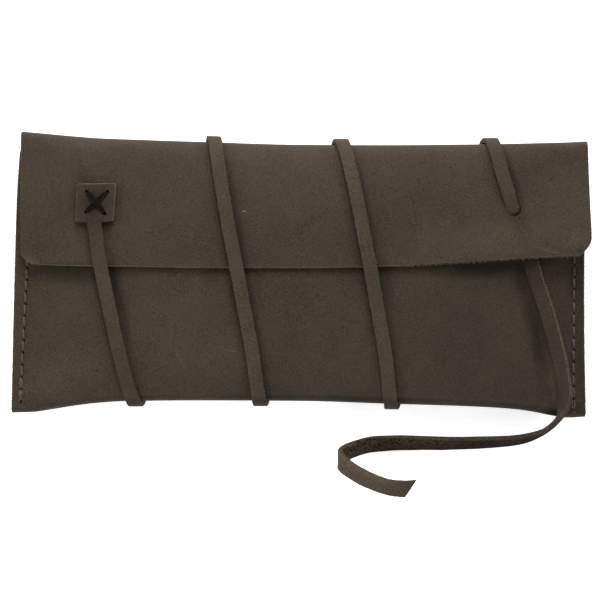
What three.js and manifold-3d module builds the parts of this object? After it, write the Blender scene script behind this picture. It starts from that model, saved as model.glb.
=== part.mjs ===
// A flat toiletry pouch of thick leather, filled and strapped shut, lying on its back.
//
// One sheet is folded up into a pocket, sewn along both sides, and folded over at the top into
// a flap. A long narrow strap is cut in one piece with a square tab. A crossed stitch holds the
// tab on the flap. The strap winds round the pouch, dives through a slot in the flap, comes out
// under the flap's edge and lies loose in front, curled back on itself at its end.
//
// Millimetres. X runs along the width, Y from the bottom fold up to the top fold, and Z up out
// of the front. The strap's turns behind the pouch lie on the ground, at z = 0.

import * as THREE from 'three';
import { mergeVertices } from 'three/addons/utils/BufferGeometryUtils.js';
import Module from 'manifold-3d';

const wasm = await Module();
wasm.setup();

const { clamp, lerp, smoothstep } = THREE.MathUtils;

// ---- Driving dimensions ----------------------------------------------------------------

const LEATHER = 2.0; // thickness of the sheet, and of the strap
const GAP = 0.3; // air between pieces that touch
const COVER = LEATHER + GAP; // what one more layer of leather adds
const MIDDLE = 8.0; // height of the plane in which the two panels meet at the seams
const SEAM_HALF = LEATHER + 0.25; // from that plane to a panel's outer face, at a seam
const FRONT_SWELL = 11.0; // the same at the front where the pouch is full
const BACK_SWELL = MIDDLE - COVER; // and at the back, which lies on the strap's turns
const BACK_FLAT_FROM = 0.5; // fullness from which the ground keeps the back flat
const FOLD_RUN = { front: 38, back: 24 }; // length of a fold's rounding where the pouch is full
const ROUNDNESS = 2.3; // power of that rounding, 2 for an ellipse
const MOUTH_DROP = 9.0; // mouth of the pocket, below the top fold
const JOIN_DROP = 8.0; // where the flap carries on from the back panel, below the top fold
const WELD_WIDTH = 6.0; // margin in which the side seams close the pocket
const FLAP_CORNERS = { left: { run: 5.9, rise: 4.6 }, right: { run: 5.4, rise: 6.7 } };
const CORNER_POWER = 1.5; // power of the curve round the flap's lower corners, 2 for an ellipse
const EDGE_BLEND = 25; // how far in from its ends a sheet feels the slant of its side edges
const LIFT_START = 50; // y at which the flap begins to lift off the pocket
const LIFT_END = 12; // y at which it has lifted all the way
const STRAP_WIDTH = 5.6;
const TAIL_LEATHER = 2.2; // the hide is a little thicker at the strap's loose end
const TIP_WIDTH = 6.8; // the loose end was cut a little wider towards its tip
const TOP_SLACK = 0.25; // how far the strap arches clear of the top fold
const TOP_ARCH = 14; // and over what length
const SLOT_WIDTH = 6.4;
const COLUMNS = 28; // columns of faces along the width of a sheet
const ROWS = { pocketFront: 15, pocketBack: 11, flapBack: 4, flapFront: 13 }; // and across it

// The folded pouch along its width: y of the bottom fold and of the top fold, and how full the
// pouch is there, from 0 where the panels lie flat on each other to 1.
const WIDTH_SECTIONS = [
  { x: -120.4, bottom: -58.4, top: 60.8, full: 0.0 },
  { x: -112.0, bottom: -58.1, top: 60.15, full: 0.0 },
  { x: -106.0, bottom: -57.2, top: 59.6, full: 0.18 },
  { x: -97.0, bottom: -55.7, top: 58.8, full: 0.55 },
  { x: -86.0, bottom: -54.3, top: 57.95, full: 0.78 },
  { x: -75.0, bottom: -53.6, top: 57.5, full: 0.92 },
  { x: -43.0, bottom: -53.3, top: 56.4, full: 1.0 },
  { x: 0.0, bottom: -53.5, top: 55.15, full: 1.0 },
  { x: 34.0, bottom: -54.6, top: 55.0, full: 0.93 },
  { x: 71.0, bottom: -55.8, top: 55.3, full: 0.72 },
  { x: 90.0, bottom: -57.0, top: 55.6, full: 0.48 },
  { x: 98.0, bottom: -58.2, top: 55.8, full: 0.32 },
  { x: 106.0, bottom: -59.8, top: 56.0, full: 0.14 },
  { x: 112.0, bottom: -60.5, top: 56.2, full: 0.03 },
  { x: 119.4, bottom: -60.1, top: 56.6, full: 0.0 },
];

// The side edges, which slant a little: x of each edge of the pocket and of the flap.
const SIDE_EDGES = [
  { y: -60, pocketLeft: -121.9, pocketRight: 119.1, flapLeft: -118.0, flapRight: 121.5 },
  { y: -24, pocketLeft: -121.4, pocketRight: 118.8, flapLeft: -118.0, flapRight: 121.5 },
  { y: 8, pocketLeft: -120.9, pocketRight: 119.1, flapLeft: -118.0, flapRight: 121.5 },
  { y: 31, pocketLeft: -120.4, pocketRight: 119.6, flapLeft: -118.5, flapRight: 121.1 },
  { y: 50, pocketLeft: -119.4, pocketRight: 120.2, flapLeft: -118.6, flapRight: 120.9 },
  { y: 60, pocketLeft: -118.7, pocketRight: 120.5, flapLeft: -118.7, flapRight: 120.5 },
];

// The flap's lower edge: its y, and how far it stands off the pocket. It lies tight under the
// strap's turns, and is propped up at the right by the strap that passes below it.
const FLAP_EDGE = [
  { x: -120.4, y: 3.9, lift: 2.4 },
  { x: -112.0, y: 3.6, lift: 1.8 },
  { x: -98.0, y: 2.7, lift: 0.5 },
  { x: -86.0, y: 2.3, lift: 0.0 },
  { x: -42.0, y: 1.3, lift: 0.0 },
  { x: 0.0, y: 1.3, lift: 0.0 },
  { x: 42.0, y: 2.0, lift: 0.0 },
  { x: 57.0, y: 2.9, lift: 0.1 },
  { x: 70.0, y: 3.8, lift: 1.0 },
  { x: 80.0, y: 4.2, lift: 2.6 },
  { x: 90.0, y: 5.0, lift: 3.9 },
  { x: 104.0, y: 6.0, lift: 4.8 },
  { x: 119.4, y: 7.0, lift: 6.0 },
];

// The tab at the strap's first end: x of its centre line and half its width, from its top edge
// down to the neck where the strap leaves it.
const TAB = [
  { y: 36.9, x: -86.0, half: 8.1 },
  { y: 32.9, x: -86.2, half: 8.05 },
  { y: 28.9, x: -86.4, half: 8.0 },
  { y: 24.9, x: -86.6, half: 7.95 },
  { y: 21.2, x: -86.8, half: 7.9 },
];

// The strap's passes over the pouch, in the order in which it is wound: x of its centre line
// where a pass starts and ends, and how far it bows to the right between them. A pass runs from
// fold to fold, down the front and up the back. The first starts at the tab, the last at the
// top fold, and it ends at the slot.
const PASSES = [
  { side: 'front', start: -86.8, end: -69.8, bow: -1.6 },
  { side: 'back', start: -69.8, end: -37.5, bow: 3 },
  { side: 'front', start: -37.5, end: -17.4, bow: 0 },
  { side: 'back', start: -17.4, end: 16.1, bow: 0 },
  { side: 'front', start: 16.1, end: 37.6, bow: 1.6 },
  { side: 'back', start: 37.6, end: 79.8, bow: 0 },
  { side: 'front', start: 79.8, end: 86.6, bow: 0 },
];
const PASS_STEPS = { front: 24, back: 16 };

// The slot in the flap, from its upper to its lower end along the strap.
const SLOT = { top: { x: 86.0, y: 35.8 }, bottom: { x: 89.7, y: 23.5 } };

// Where the strap starts to sink into the slot, and its centre line from the underside of the
// flap down to where it lies on the pocket.
const DIVE_FROM = 32.8;
const DIVE = [
  { x: 88.75, y: 26.8 },
  { x: 90.4, y: 20.9 },
  { x: 92.1, y: 16.6 },
];

// The strap's loose end, from under the flap to its tip: points of its centre line, and the
// direction in which the smooth side of the leather looks.
const TAIL_ROUTE = [
  { x: 92.4, y: 16.0, z: 15.8, look: [0.1, 0, 1] },
  { x: 95.8, y: 5.3, z: 15.75, look: [-0.17, -0.05, 0.98] },
  { x: 98.8, y: -4.8, z: 15.9, look: [-0.33, -0.12, 0.94] },
  { x: 102.2, y: -14.9, z: 16.1, look: [-0.38, -0.14, 0.91] },
  { x: 104.8, y: -24.1, z: 16.2, look: [-0.47, -0.12, 0.87] },
  { x: 107.2, y: -33.4, z: 16.2, look: [-0.56, -0.12, 0.82] },
  { x: 109.2, y: -43.0, z: 15.9, look: [-0.65, -0.1, 0.75] },
  { x: 110.2, y: -49.5, z: 15.4, look: [-0.73, -0.03, 0.68] },
  { x: 110.0, y: -54.0, z: 15.0, look: [-0.8, 0.11, 0.57] },
  { x: 109.2, y: -57.6, z: 14.6, look: [-0.84, 0.37, 0.39] },
  { x: 107.8, y: -60.3, z: 14.0, look: [-0.81, 0.57, 0.13] },
  { x: 106.3, y: -62.4, z: 12.4, look: [-0.75, 0.66, 0.04] },
  { x: 104.6, y: -64.1, z: 10.0, look: [-0.68, 0.73, -0.04] },
  { x: 102.4, y: -65.8, z: 7.4, look: [-0.55, 0.82, -0.13] },
  { x: 98.6, y: -67.6, z: 5.1, look: [-0.38, 0.9, -0.22] },
  { x: 94.0, y: -69.1, z: 4.2, look: [-0.22, 0.92, -0.31] },
  { x: 87.5, y: -70.1, z: 3.6, look: [-0.07, 0.92, -0.4] },
  { x: 77.0, y: -70.7, z: 3.4, look: [0, 0.86, -0.5] },
  { x: 62.0, y: -71.1, z: 3.3, look: [0, 0.8, -0.6] },
  { x: 47.0, y: -70.9, z: 3.1, look: [0, 0.68, -0.73] },
  { x: 34.5, y: -71.1, z: 2.9, look: [0, 0.5, -0.86] },
  { x: 27.5, y: -71.9, z: 2.7, look: [-0.05, 0.3, -0.95] },
  { x: 21.8, y: -73.6, z: 3.2, look: [-0.25, 0.15, -0.95] },
  { x: 17.6, y: -75.6, z: 5.2, look: [-0.8, 0.05, -0.6] },
  { x: 16.2, y: -77.8, z: 8.6, look: [-1, 0.0, 0.05] },
  { x: 17.8, y: -80.6, z: 11.8, look: [-0.7, 0.0, 0.7] },
  { x: 22.3, y: -83.9, z: 13.0, look: [-0.1, -0.15, 0.98] },
  { x: 29.0, y: -87.2, z: 11.0, look: [0.2, -0.22, 0.95] },
  { x: 36.5, y: -89.7, z: 7.2, look: [0.3, -0.25, 0.92] },
  { x: 41.4, y: -90.2, z: 4.8, look: [0.3, -0.25, 0.92] },
  { x: 45.6, y: -90.0, z: 3.5, look: [0.25, -0.25, 0.94] },
];
const TAIL_STEPS = 60;
const TIP_SLANT = 2.6; // how far the cut across the tip leads and lags at the two edges

// The crossed stitch: half the distance between its holes, and its thread.
const STITCH = { x: -86.2, y: 29.0, half: 4.4, arm: 2.3, thread: 0.7, bar: 1.2 };

// ---- Tables and solids -----------------------------------------------------------------

/** Smooth value of a column of a table, at a place on its axis, without overshooting a row. */
function column(table, axis, name, place) {
  const last = table.length - 1;
  const at = clamp(place, table[0][axis], table[last][axis]);
  const found = table.findIndex((row) => row[axis] >= at);
  const k = clamp(found - 1, 0, last - 1);
  const rate = (i) => (table[i + 1][name] - table[i][name]) / (table[i + 1][axis] - table[i][axis]);
  const slope = (i) => {
    if (i === 0 || i === last) return rate(Math.min(i, last - 1));
    const product = rate(i - 1) * rate(i);
    return product > 0 ? (2 * product) / (rate(i - 1) + rate(i)) : 0;
  };
  const span = table[k + 1][axis] - table[k][axis];
  const t = (at - table[k][axis]) / span;
  const ease = t * t * (3 - 2 * t);
  const bend = t * (1 - t) * ((1 - t) * slope(k) - t * slope(k + 1)) * span;
  return lerp(table[k][name], table[k + 1][name], ease) + bend;
}

/** Fractions from 0 to 1 in a number of steps, crowded at the start, at the end or at both. */
function fractions(steps, crowd) {
  const ease = {
    start: (t) => 1 - Math.cos((t * Math.PI) / 2),
    end: (t) => Math.sin((t * Math.PI) / 2),
    both: (t) => (1 - Math.cos(t * Math.PI)) / 2,
  };
  return Array.from({ length: steps + 1 }, (_, i) => ease[crowd](i / steps));
}

/**
 * Closed sheet of leather between two grids of points, its inner and its outer face.
 * Row direction cross column direction points out of the outer face.
 */
function slab(inner, outer) {
  const rows = outer.length - 1;
  const columns = outer[0].length - 1;
  const inside = (r, c) => r * (columns + 1) + c;
  const outside = (r, c) => (rows + 1) * (columns + 1) + inside(r, c);
  const index = [];
  const quad = (a, b, c, d) => index.push(a, b, c, a, c, d);
  for (let r = 0; r < rows; r += 1) {
    for (let c = 0; c < columns; c += 1) {
      quad(outside(r, c), outside(r + 1, c), outside(r + 1, c + 1), outside(r, c + 1));
      quad(inside(r, c), inside(r, c + 1), inside(r + 1, c + 1), inside(r + 1, c));
    }
    quad(inside(r, 0), inside(r + 1, 0), outside(r + 1, 0), outside(r, 0));
    quad(inside(r, columns), outside(r, columns), outside(r + 1, columns), inside(r + 1, columns));
  }
  for (let c = 0; c < columns; c += 1) {
    quad(inside(0, c), outside(0, c), outside(0, c + 1), inside(0, c + 1));
    quad(inside(rows, c), inside(rows, c + 1), outside(rows, c + 1), outside(rows, c));
  }
  const points = [...inner.flat(), ...outer.flat()];
  const geometry = new THREE.BufferGeometry();
  geometry.setAttribute(
    'position',
    new THREE.Float32BufferAttribute(points.flatMap((p) => [p.x, p.y, p.z]), 3),
  );
  geometry.setIndex(index);
  return geometry;
}

function toSolid(geometry) {
  const bare = geometry.clone();
  bare.deleteAttribute('normal');
  bare.deleteAttribute('uv');
  const merged = mergeVertices(bare);
  return new wasm.Manifold(
    new wasm.Mesh({
      numProp: 3,
      vertProperties: new Float32Array(merged.attributes.position.array),
      triVerts: new Uint32Array(merged.index.array),
    }),
  );
}

function toGeometry(solid) {
  const mesh = solid.getMesh();
  const geometry = new THREE.BufferGeometry();
  geometry.setAttribute('position', new THREE.Float32BufferAttribute(mesh.vertProperties, 3));
  geometry.setIndex(new THREE.Uint32BufferAttribute(mesh.triVerts, 1));
  return geometry;
}

function piece(name, geometry, colour, roughness) {
  const finished = geometry.toNonIndexed();
  finished.computeVertexNormals();
  const material = new THREE.MeshStandardMaterial({ color: colour, roughness, metalness: 0 });
  const mesh = new THREE.Mesh(finished, material);
  mesh.name = name;
  return mesh;
}

// ---- The folded sheet ------------------------------------------------------------------

const LEFT_END = WIDTH_SECTIONS[0].x;
const RIGHT_END = WIDTH_SECTIONS.at(-1).x;

const foldTip = (end, x) => column(WIDTH_SECTIONS, 'x', end, x);

/** How far the flap stands off the pocket. */
function lift(x, y) {
  return column(FLAP_EDGE, 'x', 'lift', x) * smoothstep(LIFT_START - y, 0, LIFT_START - LIFT_END);
}

/** y of the flap's lower edge, with its rounded corners. */
function flapEdge(x) {
  const leftwards = x < (LEFT_END + RIGHT_END) / 2;
  const { run, rise } = leftwards ? FLAP_CORNERS.left : FLAP_CORNERS.right;
  const short = Math.max(0, 1 - (leftwards ? x - LEFT_END : RIGHT_END - x) / run);
  const corner = rise * (1 - (1 - short ** CORNER_POWER) ** (1 / CORNER_POWER));
  return column(FLAP_EDGE, 'x', 'y', x) + corner;
}

/**
 * Height at (x, y) of a face of the folded sheet, `depth` below its outer skin. The sheet is
 * the `back` panel, the `front` panel, or the `flap` that covers the front panel at the top.
 */
function face(x, sheet, y, depth) {
  const full = column(WIDTH_SECTIONS, 'x', 'full', x);
  const behind = sheet === 'back';
  const covered = sheet === 'front' ? COVER : 0;
  const swell = behind
    ? lerp(SEAM_HALF, BACK_SWELL, smoothstep(full, 0, BACK_FLAT_FROM))
    : lerp(SEAM_HALF, FRONT_SWELL, full) + COVER - covered;
  const run = behind ? FOLD_RUN.back : FOLD_RUN.front;
  const topRun = lerp(SEAM_HALF + COVER / 2, run, full) - covered;
  const bottomRun = lerp(SEAM_HALF, run, full);
  const pastTop = y - (foldTip('top', x) - covered - topRun);
  const pastBottom = foldTip('bottom', x) + bottomRun - y;
  const reach = Math.max(
    pastTop > 0 ? pastTop / (topRun - depth) : 0,
    pastBottom > 0 ? pastBottom / (bottomRun - depth) : 0,
  );
  const height = (swell - depth) * (1 - Math.min(reach, 1) ** ROUNDNESS) ** (1 / ROUNDNESS);
  if (behind) return MIDDLE - height;
  return MIDDLE + height + (sheet === 'flap' ? lift(x, y) : 0);
}

/** x of a point of a sheet, moved with the slant of the sheet's side edges. */
function slanted(x, y, edges) {
  const fade = (distance) => Math.max(0, 1 - distance / EDGE_BLEND) ** 2;
  const left = column(SIDE_EDGES, 'y', `${edges}Left`, y) - LEFT_END;
  const right = column(SIDE_EDGES, 'y', `${edges}Right`, y) - RIGHT_END;
  return x + left * fade(x - LEFT_END) + right * fade(RIGHT_END - x);
}

/** Grid of points on one face of a sheet, from a function that gives a station's rows. */
function sheetGrid(rowsAt, depth, edges) {
  const stations = fractions(COLUMNS, 'both').map((f) => lerp(LEFT_END, RIGHT_END, f));
  const lines = stations.map((x) =>
    rowsAt(x, depth).map(
      ({ sheet, y }) => new THREE.Vector3(slanted(x, y, edges), y, face(x, sheet, y, depth)),
    ),
  );
  return lines[0].map((_, row) => lines.map((line) => line[row]));
}

/** The pocket at a station: down the front from the mouth, round the bottom, up the back. */
function pocketRows(x, depth) {
  const tip = foldTip('bottom', x) + depth;
  const mouth = foldTip('top', x) - MOUTH_DROP;
  const join = foldTip('top', x) - JOIN_DROP;
  return [
    ...fractions(ROWS.pocketFront, 'both').map((f) => ({ sheet: 'front', y: lerp(mouth, tip, f) })),
    ...fractions(ROWS.pocketBack, 'start')
      .slice(1)
      .map((f) => ({ sheet: 'back', y: lerp(tip, join, f) })),
  ];
}

/** The flap at a station: up from the back panel, over the top, and down to its lower edge. */
function flapRows(x, depth) {
  const tip = foldTip('top', x) - depth;
  const join = foldTip('top', x) - JOIN_DROP + GAP;
  return [
    ...fractions(ROWS.flapBack, 'end').map((f) => ({ sheet: 'back', y: lerp(join, tip, f) })),
    ...fractions(ROWS.flapFront, 'start')
      .slice(1)
      .map((f) => ({ sheet: 'flap', y: lerp(tip, flapEdge(x), f) })),
  ];
}

function foldedSheet(rowsAt, edges) {
  return toSolid(slab(sheetGrid(rowsAt, LEATHER, edges), sheetGrid(rowsAt, 0, edges)));
}

/** Strip that joins the two panels along a side seam. */
function seamWeld(edge, inward) {
  const reveal = 0.2; // how far the weld stays back from the panels' edges
  const bite = 0.1; // how deep it reaches into the panels
  const foldInside = 1.5; // how far it stays above the bottom fold's outer skin
  const half = SEAM_HALF - LEATHER + bite;
  const low = foldTip('bottom', edge) + foldInside;
  const high = foldTip('top', edge) - MOUTH_DROP - reveal;
  const name = inward > 0 ? 'pocketLeft' : 'pocketRight';
  const rows = fractions(10, 'both').map((f) => lerp(high, low, f));
  const grid = (z) =>
    rows.map((y) => {
      const outer = column(SIDE_EDGES, 'y', name, y) + inward * reveal;
      const ends = [outer, outer + inward * WELD_WIDTH].sort((a, b) => a - b);
      return ends.map((x) => new THREE.Vector3(x, y, z));
    });
  return toSolid(slab(grid(MIDDLE - half), grid(MIDDLE + half)));
}

function makePocket() {
  return foldedSheet(pocketRows, 'pocket')
    .add(seamWeld(LEFT_END, 1))
    .add(seamWeld(RIGHT_END, -1));
}

/** Prism through the flap with the slot's outline: a long hole with round ends. */
function slotCutter() {
  const top = new THREE.Vector2(SLOT.top.x, SLOT.top.y);
  const bottom = new THREE.Vector2(SLOT.bottom.x, SLOT.bottom.y);
  const along = bottom.clone().sub(top);
  const radius = SLOT_WIDTH / 2;
  const straight = along.length() / 2 - radius;
  const outline = new THREE.Shape();
  outline.absarc(straight, 0, radius, -Math.PI / 2, Math.PI / 2, false);
  outline.absarc(-straight, 0, radius, Math.PI / 2, (3 * Math.PI) / 2, false);
  const prism = new THREE.ExtrudeGeometry(outline, {
    depth: 2 * FRONT_SWELL,
    curveSegments: 8,
    bevelEnabled: false,
  });
  prism.rotateZ(along.angle());
  prism.translate((top.x + bottom.x) / 2, (top.y + bottom.y) / 2, MIDDLE);
  return toSolid(prism);
}

function makeFlap() {
  return foldedSheet(flapRows, 'flap').subtract(slotCutter()).subtract(crossedStitch(GAP));
}

// ---- The strap -------------------------------------------------------------------------

/** Height of the strap's inner face where it lies on the pouch. */
function strapBed(x, side, y) {
  const depth = -GAP - TOP_SLACK * smoothstep(y, foldTip('top', x) - TOP_ARCH, foldTip('top', x));
  if (side === 'back') return face(x, 'back', y, depth);
  return face(x, y >= flapEdge(x) - GAP / 2 ? 'flap' : 'front', y, depth);
}

/** Draws a line of points in the YZ plane tight, so that it bridges every hollow. */
function pullTaut(points) {
  const turn = (a, b, c) => (b.y - a.y) * (c.z - b.z) - (b.z - a.z) * (c.y - b.y);
  const kept = [];
  points.forEach((point, i) => {
    while (kept.length > 1 && turn(points[kept.at(-2)], points[kept.at(-1)], point) <= 0) kept.pop();
    kept.push(i);
  });
  return points.map((point, i) => {
    const next = kept.find((k) => k >= i);
    if (next === i) return point;
    const before = points[kept[kept.indexOf(next) - 1]];
    return before.clone().lerp(points[next], (point.y - before.y) / (points[next].y - before.y));
  });
}

/** The y of each step of a pass, and where the pass crosses the flap's edge, a step on it. */
function passHeights(pass, x, first, last) {
  const top = first ? TAB.at(-1).y : foldTip('top', x) + GAP + TOP_SLACK;
  const bottom = last ? DIVE_FROM : foldTip('bottom', x) - GAP;
  const crowd = (first && 'end') || (last && 'start') || 'both';
  const ys = fractions(PASS_STEPS[pass.side], crowd).map((f) => lerp(top, bottom, f));
  if (pass.side === 'back') return ys.reverse();
  if (last) return ys;
  const edge = flapEdge(x);
  const near = ys.reduce((best, y, i) => (Math.abs(y - edge) < Math.abs(ys[best] - edge) ? i : best), 0);
  return ys.map((y, i) => (i === near ? edge : y));
}

/** One edge of the strap's inner face along a pass, `aside` from the centre line. */
function passRail(pass, aside, first, last) {
  const path = (xAt) =>
    passHeights(pass, xAt(0.5), first, last).map((_, i, all) => {
      const x = xAt(i / (all.length - 1));
      const y = passHeights(pass, x, first, last)[i];
      return new THREE.Vector3(x, y, strapBed(x, pass.side, y));
    });
  const rough = path((f) => lerp(pass.start, pass.end, f) + aside);
  const travelled = [0];
  for (let i = 1; i < rough.length; i += 1) {
    const step = Math.hypot(rough[i].y - rough[i - 1].y, rough[i].z - rough[i - 1].z);
    travelled.push(travelled[i - 1] + step);
  }
  const even = path((f) => {
    const share = travelled[Math.round(f * (rough.length - 1))] / travelled.at(-1);
    return lerp(pass.start, pass.end, share) + 4 * pass.bow * share * (1 - share) + aside;
  });
  return pullTaut(even);
}

/** One edge of the inner face of the whole strap: 1 for the right edge, -1 for the left. */
function strapRail(hand) {
  const aside = (hand * STRAP_WIDTH) / 2;
  const tab = TAB.map(({ x, y, half }) => {
    const corner = x + hand * half;
    return new THREE.Vector3(corner, y, strapBed(corner, 'front', y));
  });
  const neck = 0.4;
  const passes = PASSES.flatMap((pass, i) => {
    const rail = passRail(pass, aside, i === 0, i === PASSES.length - 1);
    if (i === 0) rail[0].y -= neck;
    return i === 0 ? rail : rail.slice(1);
  });
  const pocketClearance = COVER / 4;
  const run = DIVE.at(-1).x - DIVE[0].x;
  const drop = DIVE[0].y - DIVE.at(-1).y;
  const dive = DIVE.map((point, i) => {
    const x = point.x + aside;
    const y = point.y + (aside * run * i) / (drop * (DIVE.length - 1));
    const under = face(x, 'flap', y, LEATHER) - GAP - LEATHER;
    const onPocket = face(x, 'front', y, -pocketClearance);
    return new THREE.Vector3(x, y, i === 0 ? under : Math.min(under, onPocket));
  });
  return [...tab, ...passes, ...dive];
}

/** The strip of leather, so thick, whose inner face lies between two rails. */
function strip(left, right, thickness) {
  const centres = left.map((point, i) => point.clone().lerp(right[i], 0.5));
  const normals = centres.map((_, i) => {
    const ahead = centres[Math.min(i + 1, centres.length - 1)];
    const along = ahead.clone().sub(centres[Math.max(i - 1, 0)]);
    return along.cross(right[i].clone().sub(left[i])).normalize();
  });
  const inner = left.map((point, i) => [point, right[i]]);
  const outer = inner.map((row, i) => row.map((p) => p.clone().addScaledVector(normals[i], thickness)));
  return slab(inner, outer);
}

function makeWrapStrap() {
  return toSolid(strip(strapRail(-1), strapRail(1), LEATHER)).subtract(crossedStitch(GAP));
}

/** The loose end: a flat strip swept along its route, turned to look where each point says. */
function tailGeometry() {
  const route = new THREE.CatmullRomCurve3(TAIL_ROUTE.map(({ x, y, z }) => new THREE.Vector3(x, y, z)));
  const looks = new THREE.CatmullRomCurve3(TAIL_ROUTE.map(({ look }) => new THREE.Vector3(...look)));
  const edges = Array.from({ length: TAIL_STEPS + 1 }, (_, i) => {
    const t = i / TAIL_STEPS;
    const along = route.getTangent(t);
    const look = looks.getPoint(t);
    const normal = look.addScaledVector(along, -look.dot(along)).normalize();
    const across = new THREE.Vector3().crossVectors(normal, along);
    const slant = i === TAIL_STEPS ? TIP_SLANT : 0;
    return [-1, 1].map((hand) =>
      route.getPoint(t)
        .addScaledVector(across, (hand * lerp(STRAP_WIDTH, TIP_WIDTH, t)) / 2)
        .addScaledVector(along, hand * slant)
        .addScaledVector(normal, -TAIL_LEATHER / 2),
    );
  });
  return strip(edges.map((row) => row[0]), edges.map((row) => row[1]), TAIL_LEATHER);
}

// ---- The crossed stitch ----------------------------------------------------------------

/**
 * The stitch that holds the tab: two crossed arms on the tab, a thread down through each of the
 * four holes, and two short bars sunk in the flap's inner face. `swell` makes it that much
 * bigger all round, to cut the holes with.
 */
function crossedStitch(swell) {
  const { half, arm, thread, bar } = STITCH;
  const flapInside = -LEATHER; // the flap's inner face, measured from its outer face
  const top = COVER + GAP; // underside of the arms, clear of the tab
  const armDepth = 1.0;
  const barDepth = 0.8;
  const barSunk = 0.1; // how far the bars stay inside the flap's inner face
  const shoulder = 0.6; // where an arm starts to narrow towards its ends
  const barLevel = flapInside + barDepth / 2;
  const solids = [];
  [-1, 1].forEach((hand) => {
    const reach = half * Math.SQRT2;
    const lens = new THREE.Shape([
      new THREE.Vector2(-reach - thread - swell, 0),
      new THREE.Vector2(-reach * shoulder, -arm / 2 - swell),
      new THREE.Vector2(reach * shoulder, -arm / 2 - swell),
      new THREE.Vector2(reach + thread + swell, 0),
      new THREE.Vector2(reach * shoulder, arm / 2 + swell),
      new THREE.Vector2(-reach * shoulder, arm / 2 + swell),
    ]);
    const diagonal = new THREE.ExtrudeGeometry(lens, { depth: armDepth, bevelEnabled: false });
    diagonal.rotateZ((hand * Math.PI) / 4);
    diagonal.translate(0, 0, hand > 0 ? top : top + GAP);
    solids.push(diagonal);
    const back = new THREE.BoxGeometry(bar + 2 * swell, 2 * half + bar + 2 * swell, barDepth + 2 * swell);
    back.translate(hand * half, 0, barLevel + barSunk);
    solids.push(back);
    [-1, 1].forEach((side) => {
      const length = top + armDepth / 2 - barLevel;
      const leg = new THREE.CylinderGeometry(thread + swell, thread + swell, length, 8);
      leg.rotateX(Math.PI / 2);
      leg.translate(hand * half, side * half, barLevel + length / 2);
      solids.push(leg);
    });
  });
  const rise = (x, y) => face(x, 'flap', y, 0);
  const { x, y } = STITCH;
  const acrossX = new THREE.Vector3(2 * half, 0, rise(x + half, y) - rise(x - half, y)).normalize();
  const acrossY = new THREE.Vector3(0, 2 * half, rise(x, y + half) - rise(x, y - half)).normalize();
  const up = new THREE.Vector3().crossVectors(acrossX, acrossY).normalize();
  const place = new THREE.Matrix4().makeBasis(acrossX, new THREE.Vector3().crossVectors(up, acrossX), up);
  place.setPosition(x, y, rise(x, y));
  return solids
    .map((geometry) => toSolid(geometry.applyMatrix4(place)))
    .reduce((whole, part) => whole.add(part));
}

// ---- The pouch -------------------------------------------------------------------------

const pouch = new THREE.Group();
pouch.add(
  piece('pocket', toGeometry(makePocket()), 0x453d34, 0.85),
  piece('flap', toGeometry(makeFlap()), 0x4c4239, 0.85),
  piece('wrap_strap', toGeometry(makeWrapStrap()), 0x4a4036, 0.8),
  piece('strap_tail', tailGeometry(), 0x40362e, 0.85),
  piece('cross_stitch', toGeometry(crossedStitch(0)), 0x1f1c18, 0.7),
);

export default pouch;
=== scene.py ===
"""A flat toiletry pouch of thick leather, wound shut with a long strap, lying on its back.

One sheet is folded up into a pocket, sewn along both sides, and folded over at the top into a
flap. The strap is cut in one piece with a square tab, which a crossed stitch holds on the flap. It
winds round the pouch, dives through a slot in the flap, and its end lies loose in front.

Lengths are millimetres until a mesh is made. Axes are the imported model's: X along the width, Y
from the bottom fold up to the top fold, Z up out of the front.
"""
import math

import bmesh
import bpy
import numpy as np
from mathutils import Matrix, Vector


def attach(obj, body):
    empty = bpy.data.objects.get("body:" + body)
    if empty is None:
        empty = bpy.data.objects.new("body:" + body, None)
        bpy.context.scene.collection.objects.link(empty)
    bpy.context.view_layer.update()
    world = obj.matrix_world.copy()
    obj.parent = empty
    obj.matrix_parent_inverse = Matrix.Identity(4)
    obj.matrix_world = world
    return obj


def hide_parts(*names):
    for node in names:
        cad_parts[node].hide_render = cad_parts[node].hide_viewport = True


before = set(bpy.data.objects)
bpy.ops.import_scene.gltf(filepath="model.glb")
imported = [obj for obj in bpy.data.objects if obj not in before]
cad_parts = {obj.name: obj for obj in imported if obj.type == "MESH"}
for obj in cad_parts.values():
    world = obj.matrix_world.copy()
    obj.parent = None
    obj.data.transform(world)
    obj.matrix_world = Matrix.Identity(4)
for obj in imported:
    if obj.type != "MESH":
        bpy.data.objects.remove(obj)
scene = bpy.context.scene
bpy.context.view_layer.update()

MM = 0.001
FRONT_TOP = 20.0  # about how high the front stands

# ---- Driving dimensions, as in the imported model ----

LEATHER = 2.0  # thickness of the sheet, and of the strap
GAP = 0.3  # air between pieces that touch
COVER = LEATHER + GAP  # what one more layer of leather adds
MIDDLE = 8.0  # height at which the two panels meet
SEAM_HALF = LEATHER + 0.25  # from there to a panel's outer face, at a seam
FRONT_SWELL = 11.0  # the same at the front where the pouch is full
BACK_SWELL = MIDDLE - COVER  # and at the back, which lies on the strap's turns
BACK_FLAT_FROM = 0.5  # fullness from which the ground keeps the back flat
FOLD_RUN = {"front": 38.0, "back": 24.0}  # length of a fold's rounding there
ROUNDNESS = 2.3  # power of that rounding, 2 for an ellipse
MOUTH_DROP = 9.0  # mouth of the pocket, below the top fold
FLAP_CORNERS = {"left": (5.9, 4.6), "right": (5.4, 6.7)}  # run and rise of the lower corners
CORNER_POWER = 1.5  # power of the curve round them
EDGE_BLEND = 25.0  # how far in a sheet feels the slant of its side edges
LIFT_START, LIFT_END = 50.0, 12.0  # y between which the flap lifts off the pocket
STRAP_WIDTH = 5.8
TAIL_LEATHER = 2.2  # thickness at the strap's loose end
TIP_WIDTH = 6.8  # width at its tip
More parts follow.
